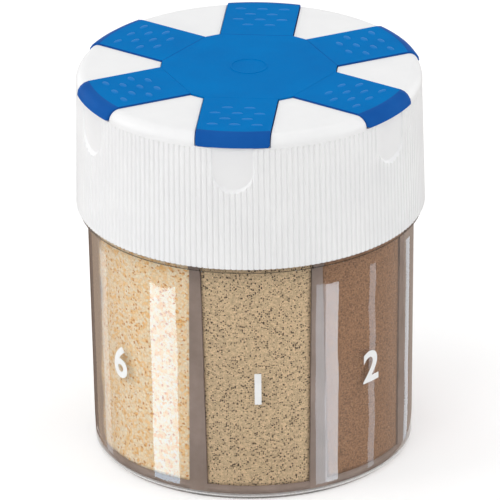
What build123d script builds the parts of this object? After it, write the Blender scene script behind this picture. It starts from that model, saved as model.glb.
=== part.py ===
# Spice shaker: a clear jar of six spice cells, a white ribbed cap that pulls off, and a blue star whose
# six arms flip up over the sprinkle holes. Millimetres, +Z up, origin in the middle of the base, with the
# front flap along -Y.
from build123d import *
from math import atan2, cos, degrees, hypot, radians, sin, sqrt, tan
import os

# Directions, in degrees
front_angle = -90.0
flap_count = 6
flap_pitch = 360.0 / flap_count
quarter_turn = 90.0
narrow_cell_angle = 45.0
wide_cell_angle = (360.0 - 2 * narrow_cell_angle) / 4

# Cap
cap_height = 27.5
cap_bottom_radius = 34.0
cap_draft = 1.15
cap_shoulder_radius = 2.2
cap_plate = 2.2
skirt_wall = 2.25
rib_count = 192
rib_groove_depth = 0.25
rib_groove_width = 0.55
rib_shoulder_gap = 0.5
shoulder_overhang = 0.06
thumb_notch_width = 7.8
thumb_notch_height = 9.0
thumb_notch_depth = 0.45
thumb_notch_side_slope = 45.0

# Jar, whose neck goes up inside the cap's skirt
jar_height = 73.8
jar_taper = 0.65
jar_edge_chamfer = 0.8
jar_floor = 1.9
foot_ring_width = 3.7
foot_recess_depth = 0.8
flange_inset = 0.5
flange_overhang = 1.65
flange_thickness = 0.8
flange_gap = 0.25
flange_chamfer = 0.7
skirt_clearance = 0.55
neck_wall = 1.6
neck_chamfer = 0.4
snap_bead_height = 1.6
snap_bead_proud = 0.35
snap_bead_rise = 6.0

# Cells of the jar, and the spice in them
post_radius = 6.0
partition_rim_thickness = 1.4
partition_draft = 0.9
post_pocket_depth = 1.5
fill_headspace = 8.0
fill_gap = 0.08

# Seal disc between the jar's rim and the cap
seal_thickness = 1.0
seal_opening_radius = 3.8

# Sprinkle holes, and the pins under the flaps that close them
hole_count = 3
hole_radius = 1.4
hole_circle_radius = 2.2
hole_wall_distance = 5.1
pin_root_radius = 1.1
pin_tip_radius = 0.85
pin_length = 1.0
pin_sides = 12

# Star: the sheet, its arms and its hinges
channel_depth = 1.0
channel_clearance = 0.2
star_proud = 0.3
star_notch = 3.2
hinge_radius = 15.5
lip_inset = 0.05
lip_drop = 2.45
outer_roll_bands = 4
inner_roll_bands = 2
lip_corner_radius = 0.4
lip_gap = 0.25
crease_depth = 0.04
crease_half_width = 0.08
film_thickness = 0.4
film_half_length = 0.8
stud_radius = 2.4
stud_clearance = 0.15
barb_radius = 2.9
barb_height = 1.2
barb_room = 0.6
hub_ring_radius = 3.5
hub_ring_width = 0.3
hub_ring_height = 0.08

# How far a cut runs past the face that it starts from
overrun = 1.0

# Heights, from the base up
cell_floor_z = foot_recess_depth + jar_floor
fill_top_z = jar_height - fill_headspace
plate_bottom_z = jar_height + seal_thickness
channel_floor_z = plate_bottom_z + cap_plate
cap_top_z = channel_floor_z + channel_depth
star_top_z = cap_top_z + star_proud
cap_bottom_z = cap_top_z - cap_height
rib_top_z = cap_top_z - cap_shoulder_radius - rib_shoulder_gap
flange_top_z = cap_bottom_z - flange_gap
flange_bottom_z = flange_top_z - flange_thickness
lip_bottom_z = star_top_z - lip_drop
ledge_z = lip_bottom_z - lip_gap

# Radii, from the cap's bottom edge inwards
skirt_inner_radius = cap_bottom_radius - skirt_wall
neck_radius = skirt_inner_radius - skirt_clearance
cell_radius = neck_radius - neck_wall
flange_radius = cap_bottom_radius - flange_inset
jar_top_radius = flange_radius - flange_overhang
jar_base_radius = jar_top_radius - jar_taper
foot_recess_radius = jar_base_radius - foot_ring_width
lip_reach = cap_bottom_radius - lip_inset
roll_start_radius = lip_reach - lip_drop
hole_ring_radius = cell_radius - hole_wall_distance

# Sizes that follow from the ones above; a notch is left between the roots of two arms
arm_width = (hinge_radius - star_notch) / cos(radians(flap_pitch / 2))
star_thickness = channel_depth + star_proud
inner_roll = lip_drop - star_thickness
pin_taper = degrees(atan2(pin_root_radius - pin_tip_radius, pin_length))
flap_angles = [front_angle + flap_pitch * step for step in range(flap_count)]

# Two narrow cells share the partition under the gap between the first two flaps, and four wide ones
# fill the rest of the circle, so that each flap stands over one cell
cell_spans = []
cell_start = front_angle + flap_pitch / 2 - narrow_cell_angle
for cell_angle in 2 * [narrow_cell_angle] + 4 * [wide_cell_angle]:
    cell_spans.append((cell_start, cell_start + cell_angle))
    cell_start += cell_angle
spice_names = ["white_pepper", "black_pepper", "paprika", "salt", "curry_powder", "garlic_granules"]

os.makedirs("parts", exist_ok=True)


def cap_radius_at(height):
    """Radius of the cap's side, over the ribs, at a height."""
    return cap_bottom_radius - (height - cap_bottom_z) * tan(radians(cap_draft))


def roll_points(start_radius, roll_radius, bands):
    """Points down the lip's quarter round, from its start on the flat to its foot, in straight bands."""
    points = []
    for step in range(bands + 1):
        turn = radians(quarter_turn * step / bands)
        points.append((start_radius + roll_radius * sin(turn), lip_bottom_z + roll_radius * cos(turn)))
    return points


def turned(radius, side, angle):
    """A point at a distance from the axis, on a line beside the radius at an angle."""
    along = sqrt(radius**2 - side**2)
    return (
        along * cos(radians(angle)) - side * sin(radians(angle)),
        along * sin(radians(angle)) + side * cos(radians(angle)),
    )


def partition_face(angle, gap):
    """Cross-section of the partition at an angle, thicker towards the floor, widened by a gap."""
    half_rim = partition_rim_thickness / 2 + gap
    half_floor = half_rim + (jar_height - cell_floor_z) * tan(radians(partition_draft))
    out = (cos(radians(angle)), sin(radians(angle)), 0)
    across = (-sin(radians(angle)), cos(radians(angle)), 0)
    with BuildSketch(Plane(origin=(0, 0, 0), x_dir=across, z_dir=out).offset(post_radius / 2)) as face:
        with BuildLine():
            Polyline(
                (-half_floor, cell_floor_z),
                (half_floor, cell_floor_z),
                (half_rim, jar_height),
                (-half_rim, jar_height),
                close=True,
            )
        make_face()
    return face.sketch


def rib_outline(height):
    """Outline of the ribbed skirt at a height: a flat land for each rib, then a V groove."""
    radius = cap_radius_at(height)
    rib_pitch = 360.0 / rib_count
    half_land = (rib_pitch - degrees(rib_groove_width / radius)) / 2
    corners = []
    for rib in range(rib_count):
        corners.append(turned(radius, 0, rib * rib_pitch - half_land))
        corners.append(turned(radius, 0, rib * rib_pitch + half_land))
        corners.append(turned(radius - rib_groove_depth, 0, rib * rib_pitch + rib_pitch / 2))
    with BuildSketch(Plane.XY.offset(height)) as outline:
        with BuildLine():
            Polyline(*corners, close=True)
        make_face()
    return outline.sketch


def hub_corners():
    """Corners of the star's hub: the two ends of each hinge line, in turn."""
    reach = hypot(hinge_radius, arm_width / 2)
    corners = []
    for angle in flap_angles:
        for side in (-arm_width / 2, arm_width / 2):
            corners.append(turned(reach, side, angle))
    return corners


# Jar: a turned shell with a post, then the partitions and the pocket for the star's stud
partition_reach = (cell_radius + neck_radius) / 2 - post_radius / 2
bead_bottom_z = flange_top_z + snap_bead_rise
with BuildPart() as jar:
    with BuildSketch(Plane.XZ):
        with BuildLine():
            Polyline(
                (0, foot_recess_depth),
                (foot_recess_radius, foot_recess_depth),
                (foot_recess_radius, 0),
                (jar_base_radius, 0),
                (jar_top_radius, flange_bottom_z),
                (flange_radius, flange_bottom_z),
                (flange_radius, flange_top_z),
                (neck_radius, flange_top_z),
                (neck_radius, jar_height),
                (cell_radius, jar_height),
                (cell_radius, cell_floor_z),
                (post_radius, cell_floor_z),
                (post_radius, jar_height),
                (0, jar_height),
                close=True,
            )
        make_face()
    revolve(axis=Axis.Z)
    rim_edges = jar.edges().filter_by(GeomType.CIRCLE).group_by(Axis.Z)[-1]
    chamfer(rim_edges.sort_by(SortBy.RADIUS)[-1], length=neck_chamfer)
    flange_under = jar.edges().filter_by(GeomType.CIRCLE).group_by(Axis.Z)[3]
    chamfer(flange_under.sort_by(SortBy.RADIUS)[0], length=flange_chamfer)
    foot_edges = jar.edges().filter_by(GeomType.CIRCLE).group_by(Axis.Z)[0]
    chamfer(foot_edges.sort_by(SortBy.RADIUS)[-1], length=jar_edge_chamfer)
    with BuildSketch(Plane.XZ):
        with BuildLine():
            Polyline(
                (neck_radius, bead_bottom_z),
                (neck_radius + snap_bead_proud, bead_bottom_z + snap_bead_proud),
                (neck_radius + snap_bead_proud, bead_bottom_z + snap_bead_height - snap_bead_proud),
                (neck_radius, bead_bottom_z + snap_bead_height),
                (cell_radius, bead_bottom_z + snap_bead_height),
                (cell_radius, bead_bottom_z),
                close=True,
            )
        make_face()
    revolve(axis=Axis.Z)
    for first_angle, last_angle in cell_spans:
        extrude(partition_face(first_angle, 0), amount=partition_reach)
    with BuildSketch(Plane.XY.offset(jar_height)):
        Circle(barb_radius + barb_room)
    extrude(amount=-post_pocket_depth, mode=Mode.SUBTRACT)
jar.part.label = "jar"
export_step(jar.part, "parts/jar.step")

# Spice in each cell, standing on the cell's floor: a turned sector, cut back from the two partitions
for spice_name, (first_angle, last_angle) in zip(spice_names, cell_spans):
    sector_plane = Plane(
        origin=(0, 0, 0),
        x_dir=(cos(radians(first_angle)), sin(radians(first_angle)), 0),
        z_dir=(sin(radians(first_angle)), -cos(radians(first_angle)), 0),
    )
    with BuildPart() as spice:
        with BuildSketch(sector_plane):
            with BuildLine():
                Polyline(
                    (post_radius + fill_gap, cell_floor_z),
                    (cell_radius - fill_gap, cell_floor_z),
                    (cell_radius - fill_gap, fill_top_z),
                    (post_radius + fill_gap, fill_top_z),
                    close=True,
                )
            make_face()
        revolve(axis=Axis.Z, revolution_arc=last_angle - first_angle)
        for angle in (first_angle, last_angle):
            extrude(partition_face(angle, fill_gap), amount=partition_reach, mode=Mode.SUBTRACT)
    spice.part.label = spice_name
    export_step(spice.part, f"parts/{spice_name}.step")

# Thumb notch under the lip of a flap along +X
notch_floor_radius = cap_radius_at(lip_bottom_z) - thumb_notch_depth
notch_plane = Plane(origin=(notch_floor_radius, 0, 0), x_dir=(0, 1, 0), z_dir=(1, 0, 0))
notch_round = thumb_notch_width / 2
notch_round_z = lip_bottom_z - thumb_notch_height + notch_round
with BuildPart() as thumb_notch:
    with BuildSketch(notch_plane):
        with Locations((0, notch_round_z)):
            Circle(notch_round)
            Rectangle(thumb_notch_width, lip_bottom_z - notch_round_z, align=(Align.CENTER, Align.MIN))
    extrude(amount=cap_bottom_radius - notch_floor_radius + overrun, taper=-thumb_notch_side_slope)

# Room for the star in the cap: the sheet's own shape with clearance, cut to the plan of hub and arms
seat_roll_radius = roll_start_radius - channel_clearance
with BuildPart() as star_channel:
    with BuildSketch(Plane.XZ):
        with BuildLine():
            Polyline(
                (0, star_top_z + overrun),
                (0, channel_floor_z),
                *roll_points(seat_roll_radius, inner_roll, inner_roll_bands),
                (seat_roll_radius + inner_roll, ledge_z),
                (lip_reach + overrun, ledge_z),
                (lip_reach + overrun, star_top_z + overrun),
                close=True,
            )
        make_face()
    revolve(axis=Axis.Z)
    with BuildSketch(Plane.XY.offset(ledge_z)):
        with BuildLine():
            Polyline(*hub_corners(), close=True)
        make_face()
        offset(amount=channel_clearance, kind=Kind.INTERSECTION)
        with PolarLocations(0, flap_count, start_angle=front_angle):
            Rectangle(
                lip_reach + overrun,
                arm_width + 2 * channel_clearance,
                align=(Align.MIN, Align.CENTER),
            )
    extrude(amount=star_top_z + overrun - ledge_z, mode=Mode.INTERSECT)

# Cap: the ribbed skirt under a turned top, hollowed, then cut for thumbs, star, sprinkle holes and stud
with BuildPart() as cap:
    loft([rib_outline(cap_bottom_z), rib_outline(rib_top_z)], ruled=True)
    with BuildSketch(Plane.XZ):
        with BuildLine():
            Polyline(
                (0, rib_top_z),
                (cap_radius_at(rib_top_z) + shoulder_overhang, rib_top_z),
                (cap_radius_at(cap_top_z) + shoulder_overhang, cap_top_z),
                (0, cap_top_z),
                close=True,
            )
        make_face()
    revolve(axis=Axis.Z)
    fillet(cap.edges().filter_by(GeomType.CIRCLE).group_by(Axis.Z)[-1], radius=cap_shoulder_radius)
    with BuildSketch(Plane.XY.offset(plate_bottom_z)):
        Circle(skirt_inner_radius)
    extrude(amount=cap_bottom_z - overrun - plate_bottom_z, mode=Mode.SUBTRACT)
    with PolarLocations(0, flap_count, start_angle=front_angle):
        add(thumb_notch.part, mode=Mode.SUBTRACT)
    add(star_channel.part, mode=Mode.SUBTRACT)
    with BuildSketch(Plane.XY.offset(plate_bottom_z)):
        Circle(stud_radius + stud_clearance)
        with PolarLocations(hole_ring_radius, flap_count, start_angle=front_angle):
            with PolarLocations(hole_circle_radius, hole_count):
                Circle(hole_radius)
    extrude(amount=cap_plate, mode=Mode.SUBTRACT)
cap.part.label = "cap"
export_step(cap.part, "parts/cap.step")

# Seal disc, pressed between the rim of the jar and the cap
with BuildPart() as seal_disc:
    with BuildSketch(Plane.XY.offset(jar_height)):
        Circle(neck_radius)
        Circle(barb_radius + barb_room, mode=Mode.SUBTRACT)
        with PolarLocations(hole_ring_radius, flap_count, start_angle=front_angle):
            Circle(seal_opening_radius, mode=Mode.SUBTRACT)
    extrude(amount=seal_thickness)
seal_disc.part.label = "seal_disc"
export_step(seal_disc.part, "parts/seal_disc.step")

# Sheet that the star is cut from: flat, with a rim that rolls down in a quarter round
with BuildPart() as star_sheet:
    with BuildSketch(Plane.XZ):
        with BuildLine():
            Polyline(
                (0, channel_floor_z),
                (0, star_top_z),
                *roll_points(roll_start_radius, lip_drop, outer_roll_bands),
                *reversed(roll_points(roll_start_radius, inner_roll, inner_roll_bands)),
                close=True,
            )
        make_face()
    revolve(axis=Axis.Z)

# Film hinge of a flap along +X: a fine crease on top and a relief below leave a thin film on the axis
film_bottom_z = star_top_z - crease_depth - film_thickness
with BuildPart() as hinge_cut:
    with BuildSketch(Plane.XZ):
        with BuildLine():
            Polyline(
                (hinge_radius, star_top_z - crease_depth),
                (hinge_radius + 2 * crease_half_width, star_top_z + crease_depth),
                (hinge_radius - 2 * crease_half_width, star_top_z + crease_depth),
                close=True,
            )
        make_face()
        with Locations((hinge_radius, film_bottom_z)):
            Rectangle(
                2 * film_half_length,
                film_bottom_z - channel_floor_z + overrun,
                align=(Align.CENTER, Align.MAX),
            )
    extrude(amount=arm_width / 2 + overrun, both=True)

# Hub of the star, with the stud that holds it in the cap
with BuildPart() as star_hub:
    add(star_sheet.part)
    with BuildSketch(Plane.XY.offset(channel_floor_z)):
        with BuildLine():
            Polyline(*hub_corners(), close=True)
        make_face()
    extrude(amount=star_thickness, mode=Mode.INTERSECT)
    with PolarLocations(0, flap_count, start_angle=front_angle):
        add(hinge_cut.part, mode=Mode.SUBTRACT)
    with BuildSketch(Plane.XY.offset(star_top_z)):
        Circle(hub_ring_radius + hub_ring_width / 2)
        Circle(hub_ring_radius - hub_ring_width / 2, mode=Mode.SUBTRACT)
    extrude(amount=hub_ring_height)
    with BuildSketch(Plane.XY.offset(channel_floor_z)):
        Circle(stud_radius)
    extrude(amount=-cap_plate)
    with Locations((0, 0, plate_bottom_z)):
        Cone(stud_radius, barb_radius, barb_height, align=(Align.CENTER, Align.CENTER, Align.MAX))
star_hub.part.label = "star_hub"
export_step(star_hub.part, "parts/star_hub.step")

# One flap along +X, with the pins that close its sprinkle holes
with BuildPart() as flap_pattern:
    add(star_sheet.part)
    with BuildSketch(Plane.XY.offset(lip_bottom_z)):
        with Locations((hinge_radius, 0)):
            Rectangle(
                lip_reach - hinge_radius + overrun,
                arm_width,
                align=(Align.MIN, Align.CENTER),
            )
    extrude(amount=star_top_z - lip_bottom_z, mode=Mode.INTERSECT)
    lip_corners = flap_pattern.edges().filter_by(Axis.X).group_by(Axis.Z)[0]
    fillet(lip_corners, radius=lip_corner_radius)
    add(hinge_cut.part, mode=Mode.SUBTRACT)
    with BuildSketch(Plane.XY.offset(channel_floor_z)):
        with Locations((hole_ring_radius, 0)):
            with PolarLocations(hole_circle_radius, hole_count):
                RegularPolygon(pin_root_radius, pin_sides)
    extrude(amount=pin_length, dir=(0, 0, -1), taper=pin_taper)

# The six flaps of the star
for number, angle in enumerate(flap_angles, start=1):
    with BuildPart() as flap:
        add(flap_pattern.part, rotation=(0, 0, angle))
    flap.part.label = f"flap_{number}"
    export_step(flap.part, f"parts/flap_{number}.step")
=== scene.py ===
# Looks of the spice shaker: moulded plastics on the CAD parts, grains in the cells, raised grip dots on the
# flaps and a number on each cell. Metres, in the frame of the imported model.
from math import cos, pi, radians, sin, tan

import bmesh
import bpy
from mathutils import Matrix, Vector, noise


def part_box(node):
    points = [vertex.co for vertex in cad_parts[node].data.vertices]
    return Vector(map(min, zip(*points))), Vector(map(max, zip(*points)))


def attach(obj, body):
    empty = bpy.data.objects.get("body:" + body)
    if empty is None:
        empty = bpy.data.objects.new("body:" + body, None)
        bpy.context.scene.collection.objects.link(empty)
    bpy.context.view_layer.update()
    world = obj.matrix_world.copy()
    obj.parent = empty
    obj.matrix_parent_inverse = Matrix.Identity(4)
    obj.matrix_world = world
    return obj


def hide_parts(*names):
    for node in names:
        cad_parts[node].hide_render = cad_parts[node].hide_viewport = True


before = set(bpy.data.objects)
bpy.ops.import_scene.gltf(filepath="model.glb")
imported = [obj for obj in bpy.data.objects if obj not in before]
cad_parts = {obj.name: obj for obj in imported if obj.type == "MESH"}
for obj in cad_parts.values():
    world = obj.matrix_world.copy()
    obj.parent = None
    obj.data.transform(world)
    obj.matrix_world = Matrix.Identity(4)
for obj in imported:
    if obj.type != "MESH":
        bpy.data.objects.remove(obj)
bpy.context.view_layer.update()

MM = 0.001
WHITE = (1.0, 1.0, 1.0)
BLACK = (0.0, 0.0, 0.0)

# Points closer than this are one point, in a new mesh and in a CAD mesh
SAME_POINT = 0.001 * MM
SAME_CAD_POINT = 0.01 * MM

# Sizes taken over from the part's source; a cell is given by the angles of its two partitions
FRONT_ANGLE = -90.0
FLAP_COUNT = 6
FLAP_PITCH = 360.0 / FLAP_COUNT
CELL_RADIUS = 29.6 * MM
POST_RADIUS = 6.0 * MM
PARTITION_RIM_THICKNESS = 1.4 * MM
PARTITION_DRAFT = 0.9
JAR_HEIGHT = 73.8 * MM
JAR_BASE_RADIUS = 31.2 * MM
JAR_TOP_RADIUS = 31.85 * MM
FLANGE_BOTTOM = 49.45 * MM
FILL_GAP = 0.08 * MM
CELLS = {
    "white_pepper": (-105.0, -60.0),
    "black_pepper": (-60.0, -15.0),
    "paprika": (-15.0, 52.5),
    "salt": (52.5, 120.0),
    "curry_powder": (120.0, 187.5),
    "garlic_granules": (187.5, 255.0),
}

# The spice presses this far into partitions and post, so that no gap shows beside it
FILL_CONTACT = 0.02 * MM

# Specular level of the plastics; the matt blue shows hardly any gloss
PLAIN_GLOSS = 0.5
BLUE_GLOSS = 0.012
DOTS_GLOSS = 0.06

# Taupe cores of the jar's partitions and floor, painted light and spice colour for what the clear plastic
# carries there; they stop a skin short of its clear faces
PAINTED_CORE_INNER_RADIUS = 26.0 * MM
PAINTED_CORE_OUTER_RADIUS = 30.1 * MM
PAINTED_CORE_BOTTOM = 1.1 * MM
PAINTED_CORE_TOP = 62.0 * MM
PAINTED_CORE_SKIN = 0.03 * MM

# Rounding of the edges of each moulding
JAR_ROUNDING = 0.1 * MM
CAP_ROUNDING = 0.06 * MM
SEAL_ROUNDING = 0.1 * MM
STAR_ROUNDING = 0.05 * MM

# A face of a flap counts as its flat top if its normal points up by more than this
FLAT_ENOUGH = 0.995

# Camera, as fitted to the photograph: angles in degrees, sensor and lens in millimetres
CAMERA_AZIMUTH = 5.79
CAMERA_ELEVATION = 24.6
CAMERA_ROLL = 0.743
CAMERA_DISTANCE = 1.5
CAMERA_SENSOR = 36.0
CAMERA_LENS = 552.3
CAMERA_TARGET = Vector((0.0, 0.0, 39.17 * MM))
CAMERA_SIDE_STEP = -0.243 * MM

# Studio: the level of light all round, the floor's own glow to the camera, and what the lamps face
WORLD_LIGHT = 0.62
FLOOR_GLOW = 0.25
FLOOR_COLOUR = (0.86, 0.86, 0.86)
FLOOR_ROUGHNESS = 0.8
FLOOR_REACH = 4.0
LAMP_AIM = Vector((0.0, 0.0, 40.0 * MM))

# Softboxes: place, width, height and power in watts
LAMPS = {
    "front_softbox": ((-0.35, -1.1, 0.8), 1.0, 0.7, 4.6),
    "top_softbox": ((-0.1, 0.1, 1.1), 0.8, 0.8, 1.7),
    "right_softbox": ((1.0, -0.15, 0.4), 0.5, 0.7, 2.3),
    "back_left_softbox": ((-1.0, 0.7, 0.35), 0.5, 0.6, 1.7),
    "back_right_softbox": ((1.0, 0.7, 0.35), 0.5, 0.6, 1.7),
    "left_softbox": ((-1.0, -0.3, 0.5), 0.5, 0.7, 2.6),
}

# Dim rings on the table round the jar, painted shade of the table that gloss and clear plastic show: inner
# and outer radius, and whether clear plastic shows them
RING_SHADE_COLOUR = (0.36, 0.30, 0.26)
RINGS = {
    "dim_ring": (33.0 * MM, 170.0 * MM, True),
    "far_dim_ring": (170.0 * MM, 600.0 * MM, False),
}

# Glowing cards for the streaks of gloss, and dim brown ones that paint shade at the jar's left contour: the
# first and last place on the jar's wall, in degrees from where it faces the camera, how far the card reaches
# from the wall, its colour and its strength
COOL_WHITE = (0.80, 0.90, 1.0)
PALE_BLUE = (0.56, 0.79, 1.0)
LIGHT_BROWN = (1.0, 0.68, 0.43)
SHADED_BROWN = (1.0, 0.65, 0.46)
STREAKS = {
    "left_streak": (-39.0, -28.0, 89.5 * MM, PALE_BLUE, 6.2),
    "right_streak_edge": (23.0, 26.8, 90.0 * MM, COOL_WHITE, 3.6),
    "right_streak": (26.8, 32.0, 90.0 * MM, COOL_WHITE, 6.8),
    # Dim brown cards whose reflections paint shade along the jar's left contour
    "left_shade": (-88.0, -78.0, 110.0 * MM, SHADED_BROWN, 0.13),
    "left_brown_shade": (-78.0, -70.0, 110.0 * MM, LIGHT_BROWN, 0.40),
    "thin_left_streak": (-68.5, -63.5, 96.0 * MM, COOL_WHITE, 1.2),
    "thin_right_streak": (46.3, 49.6, 94.0 * MM, COOL_WHITE, 2.2),
    "edge_streak": (72.0, 76.5, 97.0 * MM, COOL_WHITE, 1.4),
}


def opaque(colour):
    """A colour with full alpha, as the sockets take it."""
    return (*colour, 1.0)


def grey(level):
    """A grey of this level."""
    return (level, level, level)


def material(name):
    """A new material with its node tree, its shader and a node maker."""
    made = bpy.data.materials.new(name)
    made.use_nodes = True
    tree = made.node_tree
    shader = tree.nodes["Principled BSDF"]

    def node(kind, **settings):
        new = tree.nodes.new(kind)
        for key, value in settings.items():
            if key in new.inputs:
                new.inputs[key].default_value = value
            else:
                setattr(new, key, value)
        return new

    return made, tree, shader, node


def ramp(node, stops):
    """A colour ramp with these (place, colour) stops."""
    made = node("ShaderNodeValToRGB")
    elements = made.color_ramp.elements
    while len(elements) < len(stops):
        elements.new(1.0)
    for element, (place, colour) in zip(elements, stops):
        element.position = place
        element.color = opaque(colour)
    return made


def moulded_plastic(
    name, low_colour, high_colour, roughness, mottle_scale, grain_scale, grain_depth, gloss=PLAIN_GLOSS
):
    """Injection-moulded plastic: a faint mottle of colour and roughness over a fine surface grain."""
    low_place = 0.3
    high_place = 0.7
    roughness_spread = 0.06
    made, tree, shader, node = material(name)
    shader.inputs["Specular IOR Level"].default_value = gloss
    places = node("ShaderNodeTexCoord").outputs["Object"]
    mottle = node("ShaderNodeTexNoise", Scale=mottle_scale, Detail=4.0, Roughness=0.6)
    colours = ramp(node, [(low_place, low_colour), (high_place, high_colour)])
    rough = node("ShaderNodeMapRange")
    rough.inputs["To Min"].default_value = roughness - roughness_spread
    rough.inputs["To Max"].default_value = roughness + roughness_spread
    grain = node("ShaderNodeTexNoise", Scale=grain_scale, Detail=2.0)
    bump = node("ShaderNodeBump", Strength=0.35, Distance=grain_depth)
    link = tree.links.new
    link(places, mottle.inputs["Vector"])
    link(places, grain.inputs["Vector"])
    link(mottle.outputs["Fac"], colours.inputs["Fac"])
    link(colours.outputs["Color"], shader.inputs["Base Color"])
    link(mottle.outputs["Fac"], rough.inputs["Value"])
    link(rough.outputs["Result"], shader.inputs["Roughness"])
    link(grain.outputs["Fac"], bump.inputs["Height"])
    link(bump.outputs["Normal"], shader.inputs["Normal"])
    return made


def let_light_in(made, weight, depth):
    """Lets light go a little way into a plastic, all colours alike."""
    even_spread = (1.0, 1.0, 1.0)
    shader = made.node_tree.nodes["Principled BSDF"]
    shader.inputs["Subsurface Weight"].default_value = weight
    shader.inputs["Subsurface Radius"].default_value = even_spread
    shader.inputs["Subsurface Scale"].default_value = depth


def clear_plastic():
    """Clear polystyrene with faint flow marks and a tint; lamps shine through it on to the spices."""
    refraction = 1.59
    most_roughness = 0.06
    shadow_colour = grey(0.96)
    tint_colour = (0.78, 0.66, 0.58)
    tint_density = 60.0
    made, tree, shader, node = material("clear_plastic")
    shader.inputs["Base Color"].default_value = opaque(WHITE)
    shader.inputs["IOR"].default_value = refraction
    shader.inputs["Transmission Weight"].default_value = 1.0
    places = node("ShaderNodeTexCoord").outputs["Object"]
    flow = node("ShaderNodeTexNoise", Scale=60.0, Detail=3.0)
    rough = node("ShaderNodeMapRange")
    rough.inputs["To Max"].default_value = most_roughness
    bump = node("ShaderNodeBump", Strength=0.05, Distance=0.1 * MM)
    path = node("ShaderNodeLightPath")
    through = node("ShaderNodeBsdfTransparent", Color=opaque(shadow_colour))
    mix = node("ShaderNodeMixShader")
    tint = node("ShaderNodeVolumeAbsorption", Color=opaque(tint_colour), Density=tint_density)
    output = tree.nodes["Material Output"]
    link = tree.links.new
    link(places, flow.inputs["Vector"])
    link(flow.outputs["Fac"], rough.inputs["Value"])
    link(rough.outputs["Result"], shader.inputs["Roughness"])
    link(flow.outputs["Fac"], bump.inputs["Height"])
    link(bump.outputs["Normal"], shader.inputs["Normal"])
    link(path.outputs["Is Shadow Ray"], mix.inputs["Fac"])
    link(shader.outputs["BSDF"], mix.inputs[1])
    link(through.outputs["BSDF"], mix.inputs[2])
    link(mix.outputs["Shader"], output.inputs["Surface"])
    link(tint.outputs["Volume"], output.inputs["Volume"])
    return made


def grain_layer(node, link, places, size, stops, joint_shade):
    """Grains with a colour each and shade at their joints: the colour, and the distance from the joints."""
    warp_share = 0.7
    warp_reach_share = 0.35
    joint_width = 0.2
    warp = node("ShaderNodeTexNoise", Scale=warp_share / size, Detail=2.0)
    bend = node("ShaderNodeMixRGB", blend_type="LINEAR_LIGHT", Fac=warp_reach_share * size)
    cells = node("ShaderNodeTexVoronoi", Scale=1.0 / size)
    pick = node("ShaderNodeSeparateColor")
    colours = ramp(node, stops)
    edges = node("ShaderNodeTexVoronoi", Scale=1.0 / size, feature="DISTANCE_TO_EDGE")
    joint = ramp(node, [(0.0, grey(joint_shade)), (joint_width, WHITE)])
    shade = node("ShaderNodeMixRGB", blend_type="MULTIPLY", Fac=1.0)
    link(places, warp.inputs["Vector"])
    link(places, bend.inputs["Color1"])
    link(warp.outputs["Color"], bend.inputs["Color2"])
    link(bend.outputs["Color"], cells.inputs["Vector"])
    link(bend.outputs["Color"], edges.inputs["Vector"])
    link(cells.outputs["Color"], pick.inputs["Color"])
    link(pick.outputs["Red"], colours.inputs["Fac"])
    link(edges.outputs["Distance"], joint.inputs["Fac"])
    link(colours.outputs["Color"], shade.inputs["Color1"])
    link(joint.outputs["Color"], shade.inputs["Color2"])
    return shade.outputs["Color"], edges.outputs["Distance"]


def patch_layer(node, link, places, base, size, share, colour):
    """Soft patches of another colour over a share of the base colour."""
    soft_edge = 0.18
    strongest = 0.8
    clouds = node("ShaderNodeTexNoise", Scale=1.0 / size, Detail=4.0, Roughness=0.65, Distortion=1.2)
    amount = ramp(node, [(1.0 - share, BLACK), (1.0 - share + soft_edge, grey(strongest))])
    patched = node("ShaderNodeMixRGB", Color2=opaque(colour))
    link(places, clouds.inputs["Vector"])
    link(clouds.outputs["Fac"], amount.inputs["Fac"])
    link(amount.outputs["Color"], patched.inputs["Fac"])
    link(base, patched.inputs["Color1"])
    return patched.outputs["Color"]


def speck_layer(node, link, places, base, pitch, share, colour):
    """Crumbled specks of many sizes over the base colour, on a share of the places that lie a pitch apart."""
    crumb_share = 1.6
    crumb_reach_share = 0.4
    largest = 0.60
    smallest = 0.12
    soft_edge = 0.08
    crumble = node("ShaderNodeTexNoise", Scale=crumb_share / pitch, Detail=1.0)
    crumbled = node("ShaderNodeMixRGB", blend_type="LINEAR_LIGHT", Fac=crumb_reach_share * pitch)
    dots = node("ShaderNodeTexVoronoi", Scale=1.0 / pitch)
    pick = node("ShaderNodeSeparateColor")
    reach = node("ShaderNodeMapRange")
    reach.inputs["From Max"].default_value = share
    reach.inputs["To Min"].default_value = largest
    reach.inputs["To Max"].default_value = smallest
    inside = node("ShaderNodeMath", operation="SUBTRACT")
    edge = node("ShaderNodeMapRange")
    edge.inputs["From Max"].default_value = soft_edge
    picked = node("ShaderNodeMath", operation="LESS_THAN")
    picked.inputs[1].default_value = share
    both = node("ShaderNodeMath", operation="MULTIPLY")
    spotted = node("ShaderNodeMixRGB", Color2=opaque(colour))
    link(places, crumble.inputs["Vector"])
    link(places, crumbled.inputs["Color1"])
    link(crumble.outputs["Color"], crumbled.inputs["Color2"])
    link(crumbled.outputs["Color"], dots.inputs["Vector"])
    link(dots.outputs["Color"], pick.inputs["Color"])
    link(pick.outputs["Red"], reach.inputs["Value"])
    link(reach.outputs["Result"], inside.inputs[0])
    link(dots.outputs["Distance"], inside.inputs[1])
    link(inside.outputs["Value"], edge.inputs["Value"])
    link(pick.outputs["Red"], picked.inputs[0])
    link(edge.outputs["Result"], both.inputs[0])
    link(picked.outputs["Value"], both.inputs[1])
    link(both.outputs["Value"], spotted.inputs["Fac"])
    link(base, spotted.inputs["Color1"])
    return spotted.outputs["Color"]


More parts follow.
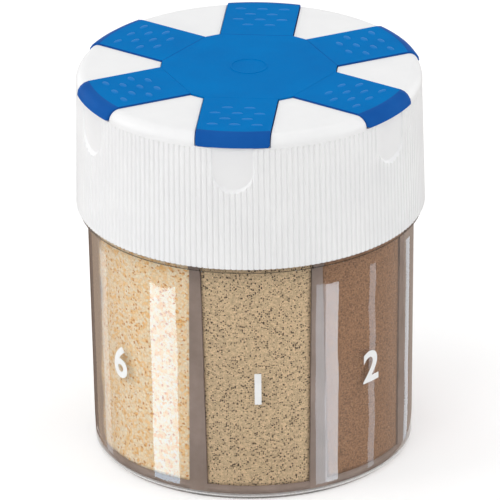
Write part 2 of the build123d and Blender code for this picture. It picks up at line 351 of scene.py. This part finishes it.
def grains(name, grain_size, stops, joint_shade, specks, patches, depth):
    """Loose spice: grains of several colours, with soft patches and stray specks over them."""
    roughness = 0.85
    gloss = 0.25
    made, tree, shader, node = material(name)
    link = tree.links.new
    shader.inputs["Roughness"].default_value = roughness
    shader.inputs["Specular IOR Level"].default_value = gloss
    places = node("ShaderNodeTexCoord").outputs["Object"]
    colour, joints = grain_layer(node, link, places, grain_size, stops, joint_shade)
    colour = patch_layer(node, link, places, colour, **patches)
    colour = speck_layer(node, link, places, colour, **specks)
    bump = node("ShaderNodeBump", Strength=0.6, Distance=depth)
    link(colour, shader.inputs["Base Color"])
    link(joints, bump.inputs["Height"])
    link(bump.outputs["Normal"], shader.inputs["Normal"])
    return made


def dress(node_name, made, rounding):
    """Gives a CAD node its material, and rounds its sharp edges a little."""
    sharp_angle = 25.0
    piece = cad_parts[node_name]
    piece.data.materials.clear()
    piece.data.materials.append(made)
    for face in piece.data.polygons:
        face.use_smooth = True
    weld = piece.modifiers.new("weld", "WELD")
    weld.merge_threshold = SAME_CAD_POINT
    bevel = piece.modifiers.new("rounding", "BEVEL")
    bevel.width = rounding
    bevel.segments = 2
    bevel.limit_method = "ANGLE"
    bevel.angle_limit = radians(sharp_angle)
    clean = piece.modifiers.new("clean", "WELD")
    clean.merge_threshold = SAME_POINT
    piece.modifiers.new("normals", "WEIGHTED_NORMAL")
    return piece


def mesh_piece(name, vertices, faces, made, smooth=True):
    """A new mesh object in the scene."""
    mesh = bpy.data.meshes.new(name)
    mesh.from_pydata(vertices, [], faces)
    mesh.validate()
    mesh.materials.append(made)
    for face in mesh.polygons:
        face.use_smooth = smooth
    piece = bpy.data.objects.new(name, mesh)
    bpy.context.scene.collection.objects.link(piece)
    return piece


def ring_point(radius, angle, height):
    """A point on a level circle round the jar's axis."""
    return Vector((radius * cos(angle), radius * sin(angle), height))


def half_partition(height):
    """Half the thickness of a partition at a height."""
    return PARTITION_RIM_THICKNESS / 2 + (JAR_HEIGHT - height) * tan(radians(PARTITION_DRAFT))


def cell_loop(first, last, height, spacing):
    """Points round the fill of a cell at a height: along the wall, then back along the post."""
    side = half_partition(height) - FILL_CONTACT
    wall = CELL_RADIUS - FILL_GAP
    post = POST_RADIUS - FILL_CONTACT
    wall_inset = side / wall
    post_inset = side / post
    low = radians(first)
    high = radians(last)
    wall_steps = round((high - low) * wall / spacing)
    side_steps = round((wall - post) / spacing)
    post_steps = round((high - low) * post / spacing)
    corners = []
    for step in range(wall_steps):
        angle = low + wall_inset + (high - low - 2 * wall_inset) * step / wall_steps
        corners.append(ring_point(wall, angle, height))
    wall_end = ring_point(wall, high - wall_inset, height)
    post_end = ring_point(post, high - post_inset, height)
    for step in range(side_steps):
        corners.append(wall_end.lerp(post_end, step / side_steps))
    for step in range(post_steps):
        angle = high - post_inset - (high - low - 2 * post_inset) * step / post_steps
        corners.append(ring_point(post, angle, height))
    post_start = ring_point(post, low + post_inset, height)
    for step in range(side_steps):
        corners.append(post_start.lerp(corners[0], step / side_steps))
    return corners


def unevenness(point, lump):
    """A share from 0 to 1 that varies smoothly over lumps of this size."""
    return noise.noise(point / lump) * 0.5 + 0.5


def spice_fill(name, made, spacing, lump, depth):
    """The spice in a cell: a closed heap whose faces are broken up by the grains, always inwards."""
    top_steps = 10
    top_depth = 2 * depth
    first, last = CELLS[name]
    low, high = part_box(name)
    floor = low.z
    top = high.z
    levels = round((top - floor) / spacing)
    middle = radians((first + last) / 2)
    centre = ring_point((CELL_RADIUS + POST_RADIUS) / 2, middle, top)
    wall = CELL_RADIUS - FILL_GAP
    heights = [floor + (top - floor) * step / levels for step in range(levels + 1)]
    rings = [cell_loop(first, last, height, spacing) for height in heights]
    count = len(rings[0])
    vertices = []
    for ring in rings:
        for point in ring:
            inward = Vector((-point.x, -point.y, 0.0))
            at_wall = 1.0 if inward.length > wall - spacing / 2 else 0.0
            vertices.append(point + inward.normalized() * depth * unevenness(point, lump) * at_wall)
    for step in range(1, top_steps):
        for point in rings[-1]:
            place = point.lerp(centre, step / top_steps)
            vertices.append(place - Vector((0.0, 0.0, top_depth * unevenness(place, lump))))
    vertices.append(centre - Vector((0.0, 0.0, depth)))
    vertices.append(Vector((centre.x, centre.y, floor)))
    top_centre = len(vertices) - 2
    floor_centre = len(vertices) - 1
    last_row = (levels + top_steps - 1) * count
    faces = []
    for row in range(0, last_row, count):
        for index in range(count):
            after = (index + 1) % count
            faces.append((row + index, row + after, row + count + after, row + count + index))
    for index in range(count):
        after = (index + 1) % count
        faces.append((last_row + index, last_row + after, top_centre))
        faces.append((after, index, floor_centre))
    piece = mesh_piece(f"{name}_grains", vertices, faces, made)
    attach(piece, "jar")
    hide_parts(name)


def partition_haze(number, angle, made):
    """A taupe core in a partition's outer edge, just inside its clear faces: painted light and spice colour
    seen through the clear plastic.
    """
    turn = Matrix.Rotation(radians(angle), 4, "Z")
    vertices = []
    for height in (PAINTED_CORE_BOTTOM, PAINTED_CORE_TOP):
        half = half_partition(height) - PAINTED_CORE_SKIN
        vertices.append(turn @ Vector((PAINTED_CORE_INNER_RADIUS, -half, height)))
        vertices.append(turn @ Vector((PAINTED_CORE_OUTER_RADIUS, -half, height)))
        vertices.append(turn @ Vector((PAINTED_CORE_OUTER_RADIUS, half, height)))
        vertices.append(turn @ Vector((PAINTED_CORE_INNER_RADIUS, half, height)))
    faces = [(3, 2, 1, 0), (4, 5, 6, 7), (0, 1, 5, 4), (1, 2, 6, 5), (2, 3, 7, 6), (3, 0, 4, 7)]
    piece = mesh_piece(f"partition_haze_{number}", vertices, faces, made, smooth=False)
    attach(piece, "jar")


def floor_haze(made):
    """A taupe core in the jar's floor, a flat ring near its edge, just below the floor of the cells: painted
    light and spice colour seen through the clear plastic.
    """
    sides = 96
    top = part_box("white_pepper")[0].z - PAINTED_CORE_SKIN
    profile = [
        (PAINTED_CORE_INNER_RADIUS, PAINTED_CORE_BOTTOM),
        (PAINTED_CORE_OUTER_RADIUS, PAINTED_CORE_BOTTOM),
        (PAINTED_CORE_OUTER_RADIUS, top),
        (PAINTED_CORE_INNER_RADIUS, top),
    ]
    vertices = []
    for radius, height in profile:
        for step in range(sides):
            vertices.append(ring_point(radius, 2 * pi * step / sides, height))
    faces = []
    for band in range(len(profile)):
        row = band * sides
        next_row = (band + 1) % len(profile) * sides
        for step in range(sides):
            after = (step + 1) % sides
            faces.append((row + step, row + after, next_row + after, next_row + step))
    piece = mesh_piece("floor_haze", vertices, faces, made)
    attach(piece, "jar")


def grip_dots(number, made):
    """Rows of low oval dots on a flap, staggered, each a small dome on the flap's top.

    The places in a row are in pitches from the middle of the flap."""
    row_radii = [20.35 * MM, 23.0 * MM, 25.65 * MM, 28.3 * MM]
    pitch = 4.3 * MM
    places_in_rows = [(-0.5, 0.5), (-1.0, 0.0, 1.0), (-0.5, 0.5), (-1.0, 0.0, 1.0)]
    half_long = 1.15 * MM
    half_wide = 0.6 * MM
    height = 0.11 * MM
    sink = 0.03 * MM
    sides = 16
    bands = 4
    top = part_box(f"flap_{number}")[1].z
    turn = Matrix.Rotation(radians(FRONT_ANGLE + FLAP_PITCH * (number - 1)), 4, "Z")
    vertices = []
    faces = []
    for radius, places in zip(row_radii, places_in_rows):
        for place in places:
            side = place * pitch
            start = len(vertices)
            for band in range(bands):
                tilt = pi / 2 * band / bands
                for step in range(sides):
                    angle = 2 * pi * step / sides
                    point = Vector((
                        radius + half_wide * cos(tilt) * cos(angle),
                        side + half_long * cos(tilt) * sin(angle),
                        top - sink + (height + sink) * sin(tilt),
                    ))
                    vertices.append(turn @ point)
            peak = len(vertices)
            vertices.append(turn @ Vector((radius, side, top + height)))
            last_band = peak - sides
            for band_start in range(start, last_band, sides):
                for step in range(sides):
                    after = (step + 1) % sides
                    faces.append((
                        band_start + step,
                        band_start + after,
                        band_start + sides + after,
                        band_start + sides + step,
                    ))
            for step in range(sides):
                after = (step + 1) % sides
                faces.append((last_band + step, last_band + after, peak))
            faces.append(tuple(start + step for step in reversed(range(sides))))
    piece = mesh_piece(f"grip_dots_{number}", vertices, faces, made)
    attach(piece, f"flap_{number}")


def numeral_mesh(number, size, boldness, thickness):
    """A flat numeral as a mesh, standing in the XY plane and centred on X."""
    curve_steps = 8
    text = bpy.data.curves.new("numeral", "FONT")
    text.body = str(number)
    text.size = size
    text.align_x = "CENTER"
    text.extrude = thickness / 2
    text.offset = boldness
    text.resolution_u = curve_steps
    letter = bpy.data.objects.new("numeral", text)
    bpy.context.scene.collection.objects.link(letter)
    bpy.context.view_layer.update()
    mesh = bpy.data.meshes.new_from_object(letter.evaluated_get(bpy.context.evaluated_depsgraph_get()))
    bpy.data.objects.remove(letter)
    return mesh


def drop_empty_faces(shape):
    """Takes out double points and faces without area."""
    bmesh.ops.remove_doubles(shape, verts=shape.verts[:], dist=SAME_POINT)
    bmesh.ops.dissolve_degenerate(shape, dist=SAME_POINT, edges=shape.edges[:])


def cell_number(number, spice, made):
    """A plain printed numeral on the jar in front of a cell, cut into strips and wrapped round the wall."""
    size = 9.0 * MM
    boldness = 0.22 * MM
    foot = 21.0 * MM
    ink = 0.03 * MM
    strip = 0.4 * MM
    first, last = CELLS[spice]
    middle = radians((first + last) / 2)
    mesh = numeral_mesh(number, size, boldness, ink)
    shape = bmesh.new()
    shape.from_mesh(mesh)
    drop_empty_faces(shape)
    reach = max(vertex.co.x for vertex in shape.verts)
    cut = -reach
    while cut < reach:
        everything = shape.verts[:] + shape.edges[:] + shape.faces[:]
        bmesh.ops.bisect_plane(shape, geom=everything, plane_co=(cut, 0.0, 0.0), plane_no=(1.0, 0.0, 0.0))
        cut += strip
    drop_empty_faces(shape)
    for vertex in shape.verts:
        height = foot + vertex.co.y
        wall = JAR_BASE_RADIUS + (JAR_TOP_RADIUS - JAR_BASE_RADIUS) * height / FLANGE_BOTTOM
        vertex.co = ring_point(wall + ink + vertex.co.z, middle + vertex.co.x / wall, height)
    shape.to_mesh(mesh)
    shape.free()
    mesh.name = f"cell_number_{number}"
    mesh.materials.clear()
    mesh.materials.append(made)
    piece = bpy.data.objects.new(f"cell_number_{number}", mesh)
    bpy.context.scene.collection.objects.link(piece)
    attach(piece, "jar")


def seen_directly(tree):
    """1 for what the camera sees straight, in gloss or through clear plastic, 0 for light on the object."""
    path = tree.nodes.new("ShaderNodeLightPath")
    rays = path.outputs["Is Camera Ray"]
    for kind in ("Is Glossy Ray", "Is Transmission Ray"):
        either = tree.nodes.new("ShaderNodeMath")
        either.operation = "MAXIMUM"
        tree.links.new(rays, either.inputs[0])
        tree.links.new(path.outputs[kind], either.inputs[1])
        rays = either.outputs["Value"]
    return rays


def pale_floor():
    """A plain floor that keeps the shadow, and glows a little to the camera alone."""
    made, tree, shader, node = material("floor")
    shader.inputs["Base Color"].default_value = opaque(FLOOR_COLOUR)
    shader.inputs["Roughness"].default_value = FLOOR_ROUGHNESS
    shader.inputs["Emission Color"].default_value = opaque(WHITE)
    strength = node("ShaderNodeMath", operation="MULTIPLY")
    strength.inputs[1].default_value = FLOOR_GLOW
    tree.links.new(seen_directly(tree), strength.inputs[0])
    tree.links.new(strength.outputs["Value"], shader.inputs["Emission Strength"])
    corners = [
        (-FLOOR_REACH, -FLOOR_REACH, 0.0),
        (FLOOR_REACH, -FLOOR_REACH, 0.0),
        (FLOOR_REACH, FLOOR_REACH, 0.0),
        (-FLOOR_REACH, FLOOR_REACH, 0.0),
    ]
    floor = mesh_piece("floor", corners, [(0, 1, 2, 3)], made)


def reflection_card(name, corners, colour, strength, through_plastic):
    """A flat glowing card on the table that only gloss, and clear plastic if asked, can show.

    It gives no light. The corners go along its near edge, and then as many along its far edge."""
    made, _, shader, _ = material(name)
    shader.inputs["Base Color"].default_value = opaque(BLACK)
    shader.inputs["Specular IOR Level"].default_value = 0.0
    shader.inputs["Emission Color"].default_value = opaque(colour)
    shader.inputs["Emission Strength"].default_value = strength
    count = len(corners) // 2
    faces = [(step, step + 1, count + step + 1, count + step) for step in range(count - 1)]
    card = mesh_piece(name, corners, faces, made)
    card.visible_camera = False
    card.visible_diffuse = False
    card.visible_shadow = False
    card.visible_volume_scatter = False
    card.visible_transmission = through_plastic


def ring_card(name, inner, outer, through_plastic):
    """A dim ring on the table round the jar: painted shade, shown only in gloss and, if asked, through clear
    plastic.
    """
    lift = 0.1 * MM
    steps = 48
    corners = []
    for radius in (inner, outer):
        for step in range(steps + 1):
            corners.append(ring_point(radius, 2 * pi * step / steps, lift))
    reflection_card(name, corners, RING_SHADE_COLOUR, 1.0, through_plastic)


def streak_card(name, first, last, far, colour, strength):
    """A card whose reflection in the jar runs between two places on its wall, in degrees from the camera."""
    lift = 0.2 * MM
    near = 3.0 * MM
    facing = FRONT_ANGLE + CAMERA_AZIMUTH
    corners = []
    for reach in (near, far):
        for place in (first, last):
            wall_point = ring_point(JAR_TOP_RADIUS, radians(facing + place), lift)
            outward = ring_point(reach, radians(facing + 2 * place), 0.0)
            corners.append(wall_point + outward)
    reflection_card(name, corners, colour, strength, False)


def studio_world():
    """White to the camera, and a plain level of light on the object."""
    world = bpy.data.worlds.new("studio")
    bpy.context.scene.world = world
    world.use_nodes = True
    tree = world.node_tree
    background = tree.nodes["Background"]
    background.inputs["Color"].default_value = opaque(WHITE)
    strength = tree.nodes.new("ShaderNodeMapRange")
    strength.inputs["To Min"].default_value = WORLD_LIGHT
    tree.links.new(seen_directly(tree), strength.inputs["Value"])
    tree.links.new(strength.outputs["Result"], background.inputs["Strength"])


def softbox(name, place, width, height, power):
    """A rectangular studio lamp that faces the middle of the object."""
    lamp = bpy.data.lights.new(name, "AREA")
    lamp.shape = "RECTANGLE"
    lamp.size = width
    lamp.size_y = height
    lamp.energy = power
    made = bpy.data.objects.new(name, lamp)
    made.location = place
    made.rotation_euler = (LAMP_AIM - Vector(place)).to_track_quat("-Z", "Y").to_euler()
    bpy.context.scene.collection.objects.link(made)


def photo_camera():
    """The camera at the photograph's angle."""
    data = bpy.data.cameras.new("camera")
    data.sensor_width = CAMERA_SENSOR
    data.lens = CAMERA_LENS
    camera = bpy.data.objects.new("camera", data)
    bpy.context.scene.collection.objects.link(camera)
    azimuth = radians(CAMERA_AZIMUTH)
    elevation = radians(CAMERA_ELEVATION)
    towards = Vector((cos(elevation) * sin(azimuth), -cos(elevation) * cos(azimuth), sin(elevation)))
    camera.matrix_world = (
        Matrix.Translation(CAMERA_TARGET + towards * CAMERA_DISTANCE)
        @ (-towards).to_track_quat("-Z", "Y").to_matrix().to_4x4()
        @ Matrix.Rotation(radians(-CAMERA_ROLL), 4, "Z")
        @ Matrix.Translation((CAMERA_SIDE_STEP, 0.0, 0.0))
    )
    bpy.context.scene.camera = camera


# Materials of the mouldings
white_plastic = moulded_plastic(
    "white_plastic",
    low_colour=(0.80, 0.80, 0.805),
    high_colour=(0.84, 0.84, 0.84),
    roughness=0.42,
    mottle_scale=90.0,
    grain_scale=2600.0,
    grain_depth=0.02 * MM,
)
let_light_in(white_plastic, weight=0.15, depth=1.0 * MM)
blue_plastic = moulded_plastic(
    "blue_plastic",
    low_colour=(0.0, 0.152, 0.455),
    high_colour=(0.0, 0.176, 0.50),
    roughness=0.50,
    mottle_scale=120.0,
    grain_scale=3200.0,
    grain_depth=0.03 * MM,
    gloss=BLUE_GLOSS,
)
# A darker copy of the blue plastic for the flaps' lips: painted shade, as they face away from the top light
shaded_blue_lip = moulded_plastic(
    "shaded_blue_lip",
    low_colour=(0.008, 0.084, 0.335),
    high_colour=(0.010, 0.100, 0.375),
    roughness=0.38,
    mottle_scale=120.0,
    grain_scale=3200.0,
    grain_depth=0.01 * MM,
    gloss=BLUE_GLOSS,
)
# A lighter copy of the blue plastic for the grip dots: painted highlight, with a little more gloss
highlit_blue_dots = moulded_plastic(
    "highlit_blue_dots",
    low_colour=(0.002, 0.165, 0.49),
    high_colour=(0.006, 0.185, 0.53),
    roughness=0.38,
    mottle_scale=120.0,
    grain_scale=3200.0,
    grain_depth=0.01 * MM,
    gloss=DOTS_GLOSS,
)
seal_foam = moulded_plastic(
    "seal_foam",
    low_colour=(0.66, 0.67, 0.66),
    high_colour=(0.76, 0.77, 0.75),
    roughness=0.75,
    mottle_scale=400.0,
    grain_scale=1500.0,
    grain_depth=0.08 * MM,
)
white_ink = moulded_plastic(
    "white_ink",
    low_colour=(0.80, 0.80, 0.79),
    high_colour=(0.88, 0.88, 0.87),
    roughness=0.5,
    mottle_scale=500.0,
    grain_scale=4000.0,
    grain_depth=0.01 * MM,
)
jar_plastic = clear_plastic()
# Taupe for the cores inside the clear partitions and floor: painted light and spice colour seen through the
# clear plastic
painted_light_cores = moulded_plastic(
    "painted_light_cores",
    low_colour=(0.26, 0.20, 0.165),
    high_colour=(0.37, 0.29, 0.25),
    roughness=0.5,
    mottle_scale=160.0,
    grain_scale=900.0,
    grain_depth=0.05 * MM,
)

# Materials of the spices
garlic = grains(
    "garlic_granules",
    grain_size=0.62 * MM,
    stops=[
        (0.0, (1.0, 0.88, 0.67)),
        (0.5, (1.0, 0.81, 0.53)),
        (0.85, (0.99, 0.69, 0.34)),
        (1.0, (0.94, 0.54, 0.19)),
    ],
    joint_shade=0.85,
    specks=dict(pitch=0.5 * MM, share=0.28, colour=(0.66, 0.30, 0.085)),
    patches=dict(size=1.8 * MM, share=0.46, colour=(0.97, 0.62, 0.27)),
    depth=0.3 * MM,
)
white_pepper = grains(
    "white_pepper",
    grain_size=0.34 * MM,
    stops=[
        (0.0, (0.89, 0.69, 0.43)),
        (0.5, (0.76, 0.59, 0.365)),
        (1.0, (0.59, 0.45, 0.275)),
    ],
    joint_shade=0.8,
    specks=dict(pitch=0.36 * MM, share=0.62, colour=(0.055, 0.032, 0.017)),
    patches=dict(size=5.0 * MM, share=0.40, colour=(0.53, 0.39, 0.25)),
    depth=0.1 * MM,
)
black_pepper = grains(
    "black_pepper",
    grain_size=0.24 * MM,
    stops=[
        (0.0, (0.455, 0.255, 0.135)),
        (0.5, (0.375, 0.202, 0.105)),
        (1.0, (0.25, 0.132, 0.068)),
    ],
    joint_shade=0.75,
    specks=dict(pitch=0.34 * MM, share=0.6, colour=(0.17, 0.092, 0.05)),
    patches=dict(size=5.0 * MM, share=0.40, colour=(0.39, 0.21, 0.11)),
    depth=0.08 * MM,
)
paprika = grains(
    "paprika",
    grain_size=0.3 * MM,
    stops=[
        (0.0, (0.55, 0.07, 0.015)),
        (0.6, (0.45, 0.05, 0.012)),
        (1.0, (0.30, 0.03, 0.01)),
    ],
    joint_shade=0.75,
    specks=dict(pitch=0.45 * MM, share=0.35, colour=(0.58, 0.15, 0.03)),
    patches=dict(size=5.0 * MM, share=0.40, colour=(0.36, 0.04, 0.01)),
    depth=0.08 * MM,
)
salt = grains(
    "salt",
    grain_size=0.45 * MM,
    stops=[
        (0.0, (0.98, 0.98, 0.97)),
        (0.6, (0.95, 0.95, 0.94)),
        (1.0, (0.88, 0.88, 0.87)),
    ],
    joint_shade=0.9,
    specks=dict(pitch=0.8 * MM, share=0.2, colour=(0.84, 0.84, 0.84)),
    patches=dict(size=5.0 * MM, share=0.35, colour=(0.92, 0.92, 0.91)),
    depth=0.15 * MM,
)
curry = grains(
    "curry_powder",
    grain_size=0.28 * MM,
    stops=[
        (0.0, (0.72, 0.40, 0.05)),
        (0.6, (0.64, 0.33, 0.035)),
        (1.0, (0.48, 0.23, 0.03)),
    ],
    joint_shade=0.75,
    specks=dict(pitch=0.5 * MM, share=0.35, colour=(0.36, 0.18, 0.03)),
    patches=dict(size=5.0 * MM, share=0.40, colour=(0.56, 0.29, 0.03)),
    depth=0.08 * MM,
)

# CAD parts; the flaps' smooth lips get a darker copy of the blue, painted shade for the lesser light on them
# than on the textured tops
dress("jar", jar_plastic, JAR_ROUNDING)
dress("cap", white_plastic, CAP_ROUNDING)
dress("seal_disc", seal_foam, SEAL_ROUNDING)
dress("star_hub", blue_plastic, STAR_ROUNDING)
for number in range(1, FLAP_COUNT + 1):
    flap = dress(f"flap_{number}", blue_plastic, STAR_ROUNDING)
    flap.data.materials.append(shaded_blue_lip)
    for face in flap.data.polygons:
        face.material_index = 0 if face.normal.z > FLAT_ENOUGH else 1
    grip_dots(number, highlit_blue_dots)

# Taupe cores of painted light in the jar's partitions and floor; each cell's first angle is that of one
# partition
for number, (partition_angle, _) in enumerate(CELLS.values(), start=1):
    partition_haze(number, partition_angle, painted_light_cores)
floor_haze(painted_light_cores)

# Spices in the cells
spice_fill("white_pepper", white_pepper, spacing=0.9 * MM, lump=0.5 * MM, depth=0.08 * MM)
spice_fill("black_pepper", black_pepper, spacing=0.9 * MM, lump=0.4 * MM, depth=0.06 * MM)
spice_fill("paprika", paprika, spacing=0.9 * MM, lump=0.5 * MM, depth=0.08 * MM)
spice_fill("salt", salt, spacing=0.9 * MM, lump=0.7 * MM, depth=0.12 * MM)
spice_fill("curry_powder", curry, spacing=0.9 * MM, lump=0.5 * MM, depth=0.08 * MM)
spice_fill("garlic_granules", garlic, spacing=0.6 * MM, lump=1.1 * MM, depth=0.35 * MM)

# Numbers on the cells, in the order of their flaps
for number, spice in enumerate(CELLS, start=1):
    cell_number(number, spice, white_ink)

# Studio
pale_floor()
for name, ring in RINGS.items():
    ring_card(name, *ring)
for name, streak in STREAKS.items():
    streak_card(name, *streak)
studio_world()
for name, lamp in LAMPS.items():
    softbox(name, *lamp)
photo_camera()
bpy.context.scene.view_settings.view_transform = "Standard"
